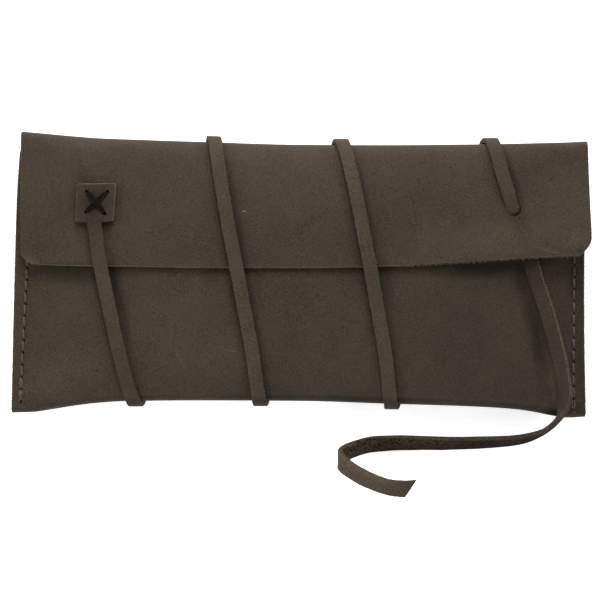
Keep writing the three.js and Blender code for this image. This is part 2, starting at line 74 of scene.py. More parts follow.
TOP_SLACK = 0.25  # how far the strap arches clear of the top fold
TOP_ARCH = 14.0  # and over what length
SLOT_WIDTH = 5.7


def table(names, *rows):
    """Named columns of a short table."""
    return dict(zip(names.split(), np.array(rows, float).T))


# The folded pouch along its width: y of the bottom fold and of the top fold, and how full it is.
WIDTH_SECTIONS = table(
    "x bottom top full",
    (-120.4, -58.4, 60.8, 0), (-112, -58.1, 60.15, 0),
    (-106, -57.2, 59.6, 0.18), (-97, -55.7, 58.8, 0.55),
    (-86, -54.3, 57.95, 0.78), (-75, -53.6, 57.5, 0.92),
    (-43, -53.3, 56.4, 1), (0, -53.5, 55.15, 1),
    (34, -54.6, 55, 0.93), (71, -55.8, 55.3, 0.72),
    (90, -57, 55.6, 0.48), (98, -58.2, 55.8, 0.32),
    (106, -59.8, 56, 0.14), (112, -60.5, 56.2, 0.03),
    (119.4, -60.1, 56.6, 0),
)

ENDS = WIDTH_SECTIONS["x"][0], WIDTH_SECTIONS["x"][-1]

# The slanting side edges: x of each edge of the pocket and of the flap.
SIDE_EDGES = table(
    "y pocket_left pocket_right flap_left flap_right",
    (-60, -121.9, 119.1, -118, 121.5), (-24, -121.4, 118.8, -118, 121.5),
    (8, -120.9, 119.1, -118, 121.5), (31, -120.4, 119.6, -118.5, 121.1),
    (50, -119.4, 120.2, -118.6, 120.9), (60, -118.7, 120.5, -118.7, 120.5),
)

# The flap's lower edge: its y, and how far it stands off the pocket.
FLAP_EDGE = table(
    "x y lift",
    (-120.4, 3.9, 2.4), (-112, 3.6, 1.8),
    (-98, 2.7, 0.5), (-86, 2.4, 0),
    (-42, 1.5, 0), (0, 1.45, 0),
    (42, 2.4, 0), (57, 3.4, 0.1),
    (70, 4.25, 1), (80, 4.85, 2.6),
    (90, 5.5, 3.9), (104, 6.3, 4.8),
    (119.4, 7.15, 6),
)

# The tab at the strap's first end: its centre line and half its width, from top edge to neck.
TAB = table("y x half", (36.9, -85.8, 8.3), (32.9, -86, 8.25), (28.9, -86.2, 8.2),
            (24.9, -86.4, 8.15), (21.2, -86.6, 8.1))
TAB_STEPS = 37  # rows of mesh over it
TAB_CORNERS, TAB_BEND = (0.7, 0.4), 0.9  # how much its corners are cut off, and over what length
TAB_REACH = (12, 10, 6)  # half the sizes of a box that holds all of it
NECK = 0.4  # length in which it narrows to the strap

# The strap's passes over the pouch: side, x of the centre line at both ends, bow to the right.
PASSES = [
    ("front", -86.8, -69.8, -1.6),
    ("back", -69.8, -37.5, 3.0),
    ("front", -37.5, -17.4, 0.0),
    ("back", -17.4, 16.1, 0.0),
    ("front", 16.1, 37.6, 1.6),
    ("back", 37.6, 79.3, 0.0),
    ("front", 79.3, 86.6, 0.0),
]

# How far each pass in front sways to the right of that bow.
SWAY = table(
    "y pass_0 pass_2 pass_4 pass_6",
    (57, 0, 0, 0, 0), (46, 0, -0.3, 0.23, -0.3),
    (39, 0, -0.38, 0.27, -0.5), (32, 0, -0.42, 0.33, 0),
    (20, 0, -0.36, 0.31, 0), (8, -0.15, -0.1, 0.34, 0),
    (-3, -0.1, 0.37, 0.36, 0), (-15, -0.35, 0.64, 0.46, 0),
    (-27, -0.32, 0.73, 0.54, 0), (-39, -0.28, 0.55, 0.36, 0),
    (-52, 0, 0, 0, 0),
)

PINCH, PINCH_REACH = 0.7, 5.0  # how deep the strap pulls into the pouch, and how far round
RIPPLE, RIPPLE_SIZE = 0.25, 48  # how far the panels wave in and out, and over what length

WRINKLES = {"pass": 4, "pitch": 3.6, "depth": 0.16, "reach": (-26, 50), "aside": 20,
            "slant": 0.25, "wander": 0.5, "fade": 6}  # across one of the passes

CREASE, SOFT_CREASE = 50, 80  # angle that makes an edge sharp, and on threads and fibres
# Cut edges: how far rounded, how ragged, and how many fibres a millimetre.
CUTS = {"sheet": (0.3, 0.05, 5), "tail": (0.28, 0.04, 7), "strap": (0.13, 0.04, 2)}
TAB_ROUND = 0.4  # rounding of the tab's cut edge
STRAP_CROWN, TAIL_CROWN = 0.05, 0.12  # how much thicker the strap is along its middle
EDGE_WANDER = 0.05  # how far the strap's edges wander sideways

# The slot in the flap, where the strap starts to sink into it, and from there the strap's centre
# line, how deep its outer face is below the flap's, and half its width.
SLOT_TOP, SLOT_BOTTOM = (86.0, 35.8), (89.7, 23.5)
SLOT_CUT = (14.25, 40.0)  # heights between which it is cut, clear of the pocket's front
DIVE_FROM = 32.8
DIVE = table(
    "x y depth half",
    (87.5, 30, -1.3, 2.7), (88.3, 27.5, -0.4, 2.7),
    (88.8, 26, 0.2, 2.62), (89.15, 24.9, 0.5, 2.3),
    (89.35, 24.3, 0.85, 1.87), (89.5, 23.9, 1.4, 1.35),
    (89.6, 23.65, 2.3, 1), (89.9, 22.8, 2.4, 1.6),
    (90.4, 20.9, 2.6, 2.7), (92.1, 16.6, 2.8, 2.7),
)

# The strap's loose end: points of its centre line and where its smooth side looks.
TAIL_ROUTE = table(
    "x y z look_x look_y look_z",
    (92.4, 16, 15.8, 0.1, 0, 1), (95.8, 5.3, 15.75, -0.17, -0.05, 0.98),
    (98.8, -4.8, 15.9, -0.33, -0.12, 0.94), (102.2, -14.9, 16.1, -0.38, -0.14, 0.91),
    (104.8, -24.1, 16.2, -0.47, -0.12, 0.87), (107.2, -33.4, 16.2, -0.56, -0.12, 0.82),
    (109.2, -43, 15.9, -0.65, -0.1, 0.75), (110.2, -49.5, 15.4, -0.73, -0.03, 0.68),
    (110, -54, 15, -0.8, 0.11, 0.57), (109.2, -57.6, 14.6, -0.84, 0.37, 0.39),
    (107.8, -60.3, 14, -0.81, 0.57, 0.13), (106.3, -62.4, 12.4, -0.75, 0.66, 0.04),
    (104.6, -64.1, 10, -0.68, 0.73, -0.04), (102.4, -65.8, 7.4, -0.55, 0.82, -0.13),
    (98.6, -67.6, 5.1, -0.38, 0.9, -0.22), (94, -69.1, 4.2, -0.22, 0.92, -0.31),
    (87.5, -70.1, 3.6, -0.07, 0.92, -0.4), (77, -70.7, 3.4, 0, 0.86, -0.5),
    (62, -71.1, 3.3, 0, 0.8, -0.6), (47, -70.9, 3.1, 0, 0.68, -0.73),
    (34.5, -71.1, 2.9, 0, 0.5, -0.86), (27.5, -71.9, 2.7, -0.05, 0.3, -0.95),
    (21.8, -73.6, 3.2, -0.25, 0.15, -0.95), (17.6, -75.6, 5.2, -0.8, 0.05, -0.6),
    (16.2, -77.8, 8.6, -1, 0, 0.05), (17.8, -80.6, 11.8, -0.7, 0, 0.7),
    (22.3, -83.9, 13, -0.1, -0.15, 0.98), (29, -87.2, 11, 0.2, -0.22, 0.95),
    (36.5, -89.7, 7.2, 0.3, -0.25, 0.92), (41.4, -90.2, 4.8, 0.3, -0.25, 0.92),
    (45.6, -90, 3.5, 0.25, -0.25, 0.94),
)
TIP_SLANT, TIP_RUN = 2.6, 8.0  # how far the tip's cut leads at one edge and lags at the other
TAIL_STEPS = 300

# The crossed stitch on the tab: its centre and its four holes from there, each with half its
# width, half its length and its sides. Two strands make an arm.
STITCH = Vector((-86.2, 29.0, 0.0))
STITCH_ARMS = [((4.7, 4.2), (-3.9, -3.9)), ((-3.7, 4.4), (3.6, -4.6))]  # the second lies on top
STITCH_HOLE, STITCH_HOLE_DEPTH = (1.0, 0.85, 12), 1.4
STRAND_ASIDE, STRAND_RADII = 0.68, (0.48, 0.2)  # at its end, and added halfway
STRAND_RISE, OVER = 0.25, 0.55  # of an arm over the tab, and over the other arm
STRAND_STEPS = 25

# The side seams: the lowest hole, x of the line of holes at SEAM_TOP, how far the threads lean
# off it, half the width and length of a hole, and how many of the lowest stitches are twofold.
SEAMS = {
    "left": {"low": (-118.0, -53.7), "high_x": -115.6, "lean": 0.45, "hole": (0.5, 1.0),
             "twofold": 2},
    "right": {"low": (113.9, -52.7), "high_x": 114.8, "lean": 0.2, "hole": (0.42, 1.05),
              "twofold": 1},
}
SEAM_TOP = 3.0
SEAM_PITCH = 5.14
SEAM_END = 1.5  # how near to the pocket's mouth the last hole may be
HOLE_SIDES = 10
THREAD = 0.8  # its diameter
THROUGH = (0.9, 1.8)  # how far inside the back and the front a thread through a hole ends
TWOFOLD = (-0.36, 0.4)  # how far the two threads of one stitch bow out
PLUG = 0.6  # half the height in the middle of the seam where the holes are stopped

# How threads are spun: sides of the mesh, plies, their depth, and turn in radians a mm.
THREAD_PLIES, CORD_PLIES = (10, 2, 0.12, 4.2), (12, 3, 0.06, 2.0)

RAW_EDGE, RAW_FADE = (40.0, 117.0), (10.0, 5.0)  # x where the flap's edge is raw, and fades
RAGGED, RAGGED_SIZE, RAGGED_SEED = 0.2, 1.7, 51  # how far that edge wanders, over what length
TUFTS = 2400

# Fibres: how they lean, greatest length and thickness; depth of the foot, angles of its corners.
FINE_FIBRES, TUFT_FIBRES = (0.6, 0.5, 0.07), (0.35, 1.1, 0.16)
FIBRE_FOOT, FIBRE_CORNERS = 0.15, (0.0, 2.09, 4.19)
FIBRE_SHARES = (0.35, 1.0)  # shortest and longest, as shares of that length
FIBRE_SCATTER, FIBRES_ABOVE = 0.25, 1.2  # from the middle of the cut, and from the ground

rng = np.random.default_rng(7)

# ---- Small helpers ----


def mix(a, b, t):
    return a + (b - a) * t


def smooth(t):
    t = np.clip(t, 0, 1)
    return t * t * (3 - 2 * t)


def unit(v):
    return v / np.maximum(np.linalg.norm(v, axis=-1, keepdims=True), 1e-9)


def travel(points):
    """How far along a line each of its points lies."""
    return np.append(0, np.cumsum(np.linalg.norm(np.diff(points, axis=0), axis=1)))


def curve(values, slopes, k, t, span):
    """A share t of the way from value k to the next one, smoothly and with their slopes."""
    bend = t * (1 - t) * ((1 - t) * slopes[k] - t * slopes[k + 1]) * span
    return mix(values[k], values[k + 1], smooth(t)) + bend


def column(rows, axis, name, place):
    """Smooth value of a column of a table, at places on its axis, without overshooting a row."""
    at, value = rows[axis], rows[name]
    place = np.clip(place, at[0], at[-1])
    k = np.clip(np.searchsorted(at, place) - 1, 0, len(at) - 2)
    rate = np.diff(value) / np.diff(at)
    both = rate[:-1] * rate[1:]
    harmonic = 2 * both / np.where(both > 0, rate[:-1] + rate[1:], 1)
    slope = np.concatenate([rate[:1], np.where(both > 0, harmonic, 0), rate[-1:]])
    span = at[k + 1] - at[k]
    return curve(value, slope, k, (place - at[k]) / span, span)


def waves(place, wavelength, seed):
    """Gentle noise of about unit size along a line or over a plane; place has a row per axis."""
    dice = np.random.default_rng(seed)
    place = np.atleast_2d(place)
    total = 0
    for _ in range(7):
        k = dice.normal(size=len(place))
        k *= 2 * math.pi / (wavelength * dice.uniform(0.6, 1.6) * np.linalg.norm(k))
        total = total + np.sin(np.tensordot(k, place, 1) + dice.uniform(0, 2 * math.pi))
    return total / math.sqrt(7)


def put(name, data):
    """A new object in the scene."""
    made = bpy.data.objects.new(name, data)
    scene.collection.objects.link(made)
    return made


def make_object(name, vertices, faces, materials, parts=None, crease=CREASE):
    """Object from vertices in millimetres; parts gives each face the number of its material."""
    mesh = bpy.data.meshes.new(name)
    points = np.array(vertices, float)
    points[:, 2] = np.maximum(points[:, 2], 0)  # the ground presses everything flat
    mesh.from_pydata((points * MM).tolist(), [], faces)
    for material in materials:
        mesh.materials.append(material)
    if parts is not None:
        mesh.polygons.foreach_set("material_index", np.asarray(parts, np.int32))
    mesh.polygons.foreach_set("use_smooth", np.ones(len(mesh.polygons), bool))
    work = bmesh.new()
    work.from_mesh(mesh)
    bmesh.ops.recalc_face_normals(work, faces=work.faces)
    work.to_mesh(mesh)
    work.free()
    mesh.set_sharp_from_angle(angle=math.radians(crease))
    mesh.update()
    return put(name, mesh)


# ---- The folded sheet's form ----


def section(name, x):
    return column(WIDTH_SECTIONS, "x", name, x)


def flap_edge(x):
    """y of the flap's lower edge, with its rounded corners."""
    y = column(FLAP_EDGE, "x", "y", x)
    for side, distance in (("left", x - ENDS[0]), ("right", ENDS[1] - x)):
        run, rise = FLAP_CORNERS[side]
        short = np.clip(1 - distance / run, 0, 1)
        y = y + rise * (1 - (1 - short**CORNER_POWER) ** (1 / CORNER_POWER))
    raw = smooth((x - RAW_EDGE[0]) / RAW_FADE[0]) * smooth((RAW_EDGE[1] - x) / RAW_FADE[1])
    return y + RAGGED * raw * waves(x, RAGGED_SIZE, RAGGED_SEED)


def strap_pinch(x, y):
    """How near a point is to the strap's passes over the front, from 0 to 1."""
    share = (section("top", x) - y) / (section("top", x) - section("bottom", x))
    near = 0
    for side, start, end, bow in PASSES[:-2]:  # the last turn lies loose
        if side == "front":
            line = mix(start, end, share) + 4 * bow * share * (1 - share)
            near = np.maximum(near, np.exp(-(((x - line) / PINCH_REACH) ** 2)))
    return near


def face(x, y, sheet, depth=0.0):
    """Height of a face of the folded sheet, depth below its outer skin."""
    full = section("full", x)
    covered = COVER if sheet == "front" else 0.0
    if sheet == "back":
        swell = mix(SEAM_HALF, BACK_SWELL, smooth(full / BACK_FLAT_FROM))
        run = FOLD_RUN["back"]
    else:
        swell = mix(SEAM_HALF, FRONT_SWELL, full) + COVER - covered
        run = FOLD_RUN["front"]
    top_run = mix(SEAM_HALF + COVER / 2, run, full) - covered
    bottom_run = mix(SEAM_HALF, run, full)
    past_top = y - (section("top", x) - covered - top_run)
    past_bottom = section("bottom", x) + bottom_run - y
    reach = np.maximum(past_top / (top_run - depth), past_bottom / (bottom_run - depth))
    height = (swell - depth) * (1 - np.clip(reach, 0, 1) ** ROUNDNESS) ** (1 / ROUNDNESS)
    if sheet == "back":
        return MIDDLE - height
    rise = RIPPLE * waves((x, y), RIPPLE_SIZE, seed=3) - PINCH * strap_pinch(x, y)
    rise = rise * full * np.clip(height / swell, 0, 1)
    if sheet == "flap":
        lifted = column(FLAP_EDGE, "x", "lift", x)
        rise = rise + lifted * smooth((LIFT_START - y) / (LIFT_START - LIFT_END))
    return MIDDLE + height + rise


def slanted(x, y, edges):
    """x of a point of a sheet, moved with the slant of its side edges."""
    moved = x
    for side, end in zip(("left", "right"), ENDS):
        near = np.clip(1 - abs(x - end) / EDGE_BLEND, 0, 1) ** 2
        moved = moved + near * (column(SIDE_EDGES, "y", f"{edges}_{side}", y) - end)
    return moved


CROWDING = 0.6  # 0 for even rows of mesh
STEPS = {"width": 236, "front": 52, "back": 48, "flap": 44, "front pass": 180, "back pass": 70}
LAST_ROW = 0.994  # how far down the flap its last row but one lies
SQUEEZE = 0.2  # how much thinner the sheet is at the seams, and below what fullness


def spread(steps, crowd):
    """Fractions from 0 to 1, crowded a little at the start, the end or both."""
    t = np.linspace(0, 1, steps + 1)
    bent = {
        "start": 1 - np.cos(t * math.pi / 2),
        "end": np.sin(t * math.pi / 2),
        "both": (1 - np.cos(t * math.pi)) / 2,
    }
    return mix(t, bent[crowd], CROWDING)


def sheet_grid(depth):
    """Grid of points on a face of the folded sheet, from the pocket's mouth to the flap's edge."""
    x = mix(*ENDS, spread(STEPS["width"], "both"))
    full = section("full", x)
    if depth:
        depth = depth + SQUEEZE * (1 - smooth(full / SQUEEZE))
    bottom = section("bottom", x) + depth
    top = section("top", x) - depth
    down_flap = np.append(spread(STEPS["flap"], "start")[1:-1], (LAST_ROW, 1))
    legs = [
        ("front", "pocket", section("top", x) - MOUTH_DROP, bottom, spread(STEPS["front"], "end")),
        ("back", "pocket", bottom, top, spread(STEPS["back"], "both")[1:]),
        ("flap", "flap", top, flap_edge(x), down_flap),
    ]
    rows = []
    for sheet, edges, start, end, fractions in legs:
        for fraction in fractions:
            y = mix(start, end, fraction)
            rows.append(np.stack([slanted(x, y, edges), y, face(x, y, sheet, depth)], -1))
    return np.array(rows)


# ---- Sheets with rounded, cut edges ----

# A rounded cut edge: share of the thickness, and of the rounding that it stands out there.
RIM = table("across out", (0.05, 0.6), (0.14, 0.92), (0.34, 1),
            (0.66, 1), (0.86, 0.92), (0.95, 0.6))


def boundary(rows, columns):
    """Row and column numbers round the edge of a grid."""
    down, across = list(range(rows)), list(range(columns))
    r = [0] * columns + down[1:] + [rows - 1] * (columns - 1) + down[-2:0:-1]
    c = across + [columns - 1] * (rows - 1) + across[-2::-1] + [0] * (rows - 2)
    return np.array(r), np.array(c)


def outward(grid):
    """Direction out of a grid's edge, in its surface, for each point of its boundary."""
    pull = np.zeros_like(grid)
    for edge, within in ((0, 1), (-1, -2)):
        pull[edge] += unit(grid[edge] - grid[within])
        pull[:, edge] += unit(grid[:, edge] - grid[:, within])
    r, c = boundary(*grid.shape[:2])
    return unit(pull[r, c])


def closed_sheet(outer, inner, round_off, ragged, per_mm):
    """Vertices, faces and face parts (0 outside, 1 cut edge, 2 inside) of a sheet of leather,
    whose cut edge is rounded by one size or one for each row, and the feet of its fibres."""
    rows, columns = outer.shape[:2]
    r, c = boundary(rows, columns)
    way = outward((outer + inner) / 2)
    outer, inner = outer.copy(), inner.copy()
    round_off = np.broadcast_to(round_off, rows)[r]
    outer[r, c] -= way * round_off[:, None]
    inner[r, c] -= way * round_off[:, None]
    loop = r * columns + c
    count = rows * columns
    rings = [loop]
    vertices = [outer.reshape(-1, 3), inner.reshape(-1, 3)]
    for across, out in zip(RIM["across"], RIM["out"]):
        push = out * round_off + ragged * rng.normal(size=len(r)) * math.sin(across * math.pi)
        vertices.append(mix(outer[r, c], inner[r, c], across) + way * push[:, None])
        rings.append(2 * count + (len(rings) - 1) * len(r) + np.arange(len(r)))
    rings.append(count + loop)
    number = np.arange(count).reshape(rows, columns)
    corners = number[:-1, :-1], number[1:, :-1], number[1:, 1:], number[:-1, 1:]
    quads = np.stack(corners, -1).reshape(-1, 4)
    sides = [np.stack([a, np.roll(a, -1), np.roll(b, -1), b], -1)
             for a, b in zip(rings, rings[1:])]
    faces = np.concatenate([quads, *sides, quads[:, ::-1] + count])
    parts = np.repeat([0, 1, 2], [len(quads), len(sides) * len(r), len(quads)])
    half_way = 1 + len(RIM["across"]) // 2
    middle = (vertices[half_way] + vertices[half_way + 1]) / 2
    return np.concatenate(vertices), faces.tolist(), parts, scatter(middle, way, per_mm)


def fibres(places, ways, lean, length, thickness):
    """Short closed fibres that stand out of a cut edge, three sides and a foot each."""
    n = len(places)
    tip_way = unit(ways + lean * rng.normal(size=(n, 3)))
    side = unit(np.cross(tip_way, rng.normal(size=(n, 3))))
    other = np.cross(tip_way, side)
    reach = length * rng.uniform(*FIBRE_SHARES, (n, 1))
    foot = places - tip_way * FIBRE_FOOT
    corners = [foot + thickness * (math.cos(a) * side + math.sin(a) * other)
               for a in FIBRE_CORNERS]
    vertices = np.stack([*corners, places + tip_way * reach], 1).reshape(-1, 3)
    base = np.arange(n)[:, None, None] * 4
    faces = base + np.array([[0, 1, 3], [1, 2, 3], [2, 0, 3], [2, 1, 0]])
    return vertices, faces.reshape(-1, 3)


def scatter(middle, way, per_mm):
    """Places spread at random along a closed edge, and the direction out of it at each."""
    following = np.roll(middle, -1, 0)
    lengths = np.linalg.norm(following - middle, axis=1)
    picks = rng.choice(len(middle), int(lengths.sum() * per_mm), p=lengths / lengths.sum())
    t = rng.uniform(0, 1, (len(picks), 1))
    return mix(middle[picks], following[picks], t), way[picks]


# ---- The strap's form ----


def strap_bed(x, y, side):
    """Height of the strap's inner face where it lies on the pouch."""
    top = section("top", x)
    depth = -GAP - TOP_SLACK * smooth((y - top + TOP_ARCH) / TOP_ARCH)
    if side == "back":
        return face(x, y, "back", depth)
    on_flap = y >= flap_edge(x) - GAP / 2
    return np.where(on_flap, face(x, y, "flap", depth), face(x, y, "front", depth))


def pull_taut(points):
    """Draws a line tight in the YZ plane, so that it bridges every hollow."""
    y, z = points[:, 1], points[:, 2]
    kept = []
    for i in range(len(points)):
        while len(kept) > 1:
            a, b = kept[-2], kept[-1]
            if (y[b] - y[a]) * (z[i] - z[b]) - (z[b] - z[a]) * (y[i] - y[b]) > 0:
                break
            kept.pop()
        kept.append(i)
    taut = points.copy()
    for a, b in zip(kept, kept[1:]):
        if b > a + 1:
            t = (y[a + 1 : b] - y[a]) / (y[b] - y[a])
            taut[a + 1 : b] = mix(points[a], points[b], t[:, None])
    return taut


def sway(y, number):
    """How far a pass in front sways to the right there, with the table's kinks smoothed."""
    at = np.arange(-70.0, 71.0)
    value = np.interp(at, SWAY["y"][::-1], SWAY[f"pass_{number}"][::-1])
    return np.interp(y, at, np.convolve(value, np.ones(9) / 9, "same"))


def pass_rail(number, aside):
    """One edge of the strap's inner face along a pass, aside from the centre line."""
    side, start, end, bow = PASSES[number]
    first, last = number == 0, number == len(PASSES) - 1
    crowd = "end" if first else "start" if last else "both"
    t = spread(STEPS[side + " pass"], crowd)

    def path(share):
        x = mix(start, end, share) + 4 * bow * share * (1 - share) + aside
        top = TAB["y"][-1] if first else section("top", x) + GAP + TOP_SLACK
        bottom = DIVE_FROM if last else section("bottom", x) - GAP
        y = mix(bottom, top, t) if side == "back" else mix(top, bottom, t)
        if side == "front":
            x = x + sway(y, number)
        return np.stack([x, y, strap_bed(x, y, side)], -1)

    travelled = travel(path(t)[:, 1:])
    return pull_taut(path(travelled / travelled[-1]))


def strap_rail(hand):
    """One edge of the inner face of the wound strap: 1 for the right edge, -1 for the left."""
    aside = hand * STRAP_WIDTH / 2
    tab_y = np.linspace(TAB["y"][0], TAB["y"][-1], TAB_STEPS)
    half = np.interp(-tab_y, -TAB["y"], TAB["half"])
    for cut_off, end in zip(TAB_CORNERS, (0, -1)):
        half = half - cut_off * (1 - smooth(np.abs(TAB["y"][end] - tab_y) / TAB_BEND))
    tab_x = np.interp(-tab_y, -TAB["y"], TAB["x"]) + hand * half
    tab = np.stack([tab_x, tab_y, strap_bed(tab_x, tab_y, "front")], -1)
    first, *others = [pass_rail(number, aside) for number in range(len(PASSES))]
    first[0, 1] -= NECK
    heading = unit(np.subtract(SLOT_BOTTOM, SLOT_TOP))
    x = DIVE["x"] - hand * DIVE["half"] * heading[1]
    y = DIVE["y"] + hand * DIVE["half"] * heading[0]
    sunk = face(x, y, "flap") - DIVE["depth"] - LEATHER
    under = DIVE["depth"] > LEATHER
    rest = np.minimum(sunk, face(x, y, "front", -COVER / 4))
    dive = np.stack([x, y, np.where(under, rest, sunk)], -1)
    return np.concatenate([tab, first, *(rail[1:] for rail in others), dive])


OVERSAMPLED = 40  # places tried between two given points


def smooth_line(points, steps):
    """Even points on one smooth curve through the given points."""
    span = np.linalg.norm(np.diff(points[:, :3], axis=0), axis=1) ** 0.5
    knots = np.append(0, np.cumsum(span))
    rate = np.diff(points, axis=0) / span[:, None]
    weight = (span[:-1] / (span[:-1] + span[1:]))[:, None]
    inner = mix(rate[:-1], rate[1:], weight)
    slope = np.concatenate([[2 * rate[0] - inner[0]], inner, [2 * rate[-1] - inner[-1]]])
    at = np.linspace(0, knots[-1], OVERSAMPLED * len(points))
    for _ in range(2):
        k = np.clip(np.searchsorted(knots, at) - 1, 0, len(span) - 1)
        t = ((at - knots[k]) / span[k])[:, None]
        value = curve(points, slope, k, t, span[k][:, None])
        travelled = travel(value[:, :3])
        at = np.interp(np.linspace(0, travelled[-1], steps + 1), travelled, at)
    return value


ACROSS = np.array((0, 0.015, 0.1, 0.25, 0.42, 0.58, 0.75, 0.9, 0.985, 1))[None, :, None]
CROWN_POWER = 0.7
UP = np.array((0.0, 0.0, 1.0))


def between(left, right):
    """Grid of points between two rails, on lines along a strap."""
    return mix(left[:, None], right[:, None], ACROSS)


def band(left, right, thickness, crown, sunk=0.0, upright=0.0):
    """Inner and outer grid of a strip of leather between two rails, crowned, and sunk in places.
    Where it is upright, its outer face is right above its inner one."""
    inner = between(left, right)
    along = np.gradient((left + right) / 2, axis=0)
    normal = unit(np.cross(along, right - left))
    upright = np.broadcast_to(upright, len(left))[:, None]
    normal = unit(mix(normal, UP, upright))[:, None]
    outer = inner + normal * (thickness + crown * (4 * ACROSS * (1 - ACROSS)) ** CROWN_POWER)
    outer = outer - normal * np.broadcast_to(sunk, outer.shape[:2])[..., None]
    return inner, outer


# ---- Materials ----

STUDIO = 2.4  # how much brighter than plain white the studio lights a white surface


def shades(tone, *gains):
    """Colours that are seen in the studio as a tone, in sRGB of 0 to 255, times each gain."""
    colours = []
    for gain in gains:
        c = np.array(tone) * gain / 255
        c = np.where(c <= 0.04045, c / 12.92, ((c + 0.055) / 1.055) ** 2.4)
        colours.append((*c / STUDIO, 1.0))
    return colours


# Patches on the outside: centre, length and width, turn in degrees, and how much lighter than
# the leather round it. A few are wear, scratches and flecks; most are painted shade under the
# flap's edge, beside the straps and the loose end, round the tab and along the bottom fold, and
# painted light at the corners and over broad parts of the front.
MARK = "x y length width turn light"
MARK_SOFTNESS = (1.15, 0.35)  # shares of its radius where a mark begins and is full
WANDER, WANDER_SIZE = 0.9, 5  # how far a mark's outline wanders, and over what length
MARK_REACH = {"front": FRONT_TOP * 0.8, "ground": FRONT_TOP * 3}  # how far down it reaches
WEAR_AND_PAINTED_LIGHT_AND_SHADE = table(
    MARK,
    (-24.2, 25.3, 1.8, 0.65, -7, 3.4), (-104.7, 37, 10, 0.7, -88, -0.3),
    (-51.4, 40.2, 0.8, 0.7, 0, 0.5), (105.2, 39.8, 3.4, 1.3, 45, -0.35),
    (111.6, 35.1, 1.4, 1.2, 0, -0.35), (110.8, 23.8, 2, 0.5, 43, 0.7),
    (100.2, 9.7, 9, 0.8, -16, 0.35), (105.5, 8.4, 15, 0.8, -14, 0.35),
    (102.6, 11.8, 2.6, 1, -10, -0.35), (68.8, 6, 5, 0.5, -88, -0.4),
    (51.5, 15, 24, 5, -92, 0.13), (54.5, 10, 14, 3, -84, 0.1),
    (37.6, 23, 24, 0.7, -1, 0.14), (62.3, 44.1, 1.3, 1.1, 0, -0.3),
    (48.8, 38.5, 1.6, 1.2, 20, -0.3), (37.8, 35.1, 1.2, 1, 0, -0.3),
    (30.4, 30.5, 1.3, 1, 0, -0.3), (-30.8, -32.6, 13, 1, -14, 0.28),
    (-27.5, -33.6, 5, 1, -10, 0.3), (-51.3, -35.7, 11, 0.7, -62, 0.3),
    (-58.4, -25.4, 7, 0.7, -63, 0.2), (-59, -39.5, 8, 0.6, 25, 0.25),
    (-62.9, -47.5, 12, 0.8, 15, 0.22), (-98.8, -36.6, 7, 0.8, 52, 0.22),
    (81.8, -18.1, 8, 0.8, -100, 0.22), (92.6, -49.3, 1.1, 1, 0, -0.4),
    (86.8, -51.4, 0.9, 0.9, 0, -0.35), (-111.5, -57, 9, 1, 3, -0.22),
    (-103.5, -57.6, 3.4, 1.6, -80, -0.22), (-95, -44, 60, 26, 10, 0.24),
    # From here on the rows are painted shade and painted light.
    (88, 14, 66, 17, 4, 0.18), (-42, -24, 60, 64, 0, 0.16),
    (-28, 30, 120, 44, 0, 0.04), (-30, -1, 88, 8, -1, 0.08),
    (-98, 0, 44, 9, -1, -0.42), (74, 1, 46, 9, 4, -0.42),
    (-76.5, -12, 32, 6, -79, -0.2), (-79.3, -18, 150, 11, -77, -0.36),
    (-27.5, 1, 300, 11, -79.6, -0.36), (28.4, 0, 300, 11, -78.9, -0.36),
    (84.9, 40, 60, 11, -73, -0.42), (96.3, -18, 46, 9, -78.7, -0.46),
    (110, -18, 64, 14, -86, -0.2), (117.4, -24, 78, 7, -89, -0.42),
    (66, -28, 74, 60, 0, -0.2), (0, -52, 120, 12, 0, -0.12),
    (-24.1, 1.6, 300, 4.6, -79.6, -0.2), (26, 29, 62, 4.4, -78.9, -0.2),
    (87.2, 41.5, 36, 6, -73, -0.32), (99.6, -33, 34, 8, -86, -0.28),
    (106.2, -47, 26, 5, -80, 0.35), (96, -46, 34, 28, 0, -0.17),
    (115.5, -44, 42, 9, -89, -0.22), (115, -5, 20, 9, -89, -0.5),
    (-75, -54.1, 70, 5.5, 3, -0.9), (-15, -53.4, 90, 5.5, 0, -0.9),
    (42, -54.7, 80, 5.5, -2, -0.85), (88, -57, 50, 5.5, -5, -0.8),
    (115, -57, 12, 8, 0, -0.4), (84, -52, 40, 12, -6, -0.14),
    (-86.3, 29, 21.5, 21.5, 0, -0.5), (-114.5, 3.4, 9, 8, 0, 0.7),
    (-114, 57.5, 16, 10, 0, 0.3), (114.7, 54.4, 16, 9, 0, 0.25),
    (115.5, 13.5, 13, 10, 0, 0.22), (60, 1, 80, 6.4, 3.5, -0.14),
    (-96, -3.5, 36, 8, 0, -0.2), (-37.5, -1, 11, 10, 0, -0.22),
    (91.3, -4.5, 14, 8, -78, -0.26), (80, -2, 44, 11, 4, -0.12),
    (107, 2.6, 28, 7, 3, 0.32), (-116, -49, 12, 9, 0, 0.25),
    (35, -4, 22, 8, -80, -0.28), (-79.5, -3.5, 16, 6, -78, -0.3),
)
# Darker over the tab, lighter on two passes, and painted shade round the bottom fold.
STRAP_PATCHES_AND_PAINTED_SHADE = table(
    MARK,
    (-86.3, 29, 25, 25, 0, -0.4), (-86, 13, 24, 14, -79, -0.17),
    (-29, -5, 140, 14, -79.6, 0.16), (22, 30, 60, 14, -78.9, 0.12),
    (82, 42, 30, 14, -73, -0.08), (-20, -55.5, 240, 7, 0, -0.6),
)
# Painted shadow of the flap on the loose end, painted light on its tip, painted shade by its turn.
TAIL_PAINTED_LIGHT_AND_SHADE = table(
    MARK,
    (98, 0, 20, 14, -70, -0.3), (24, -83, 56, 34, -30, 1.1),
    (27, -82.6, 30, 5.5, -25, 0.7), (14.5, -77, 8, 14, 0, -0.35),
)
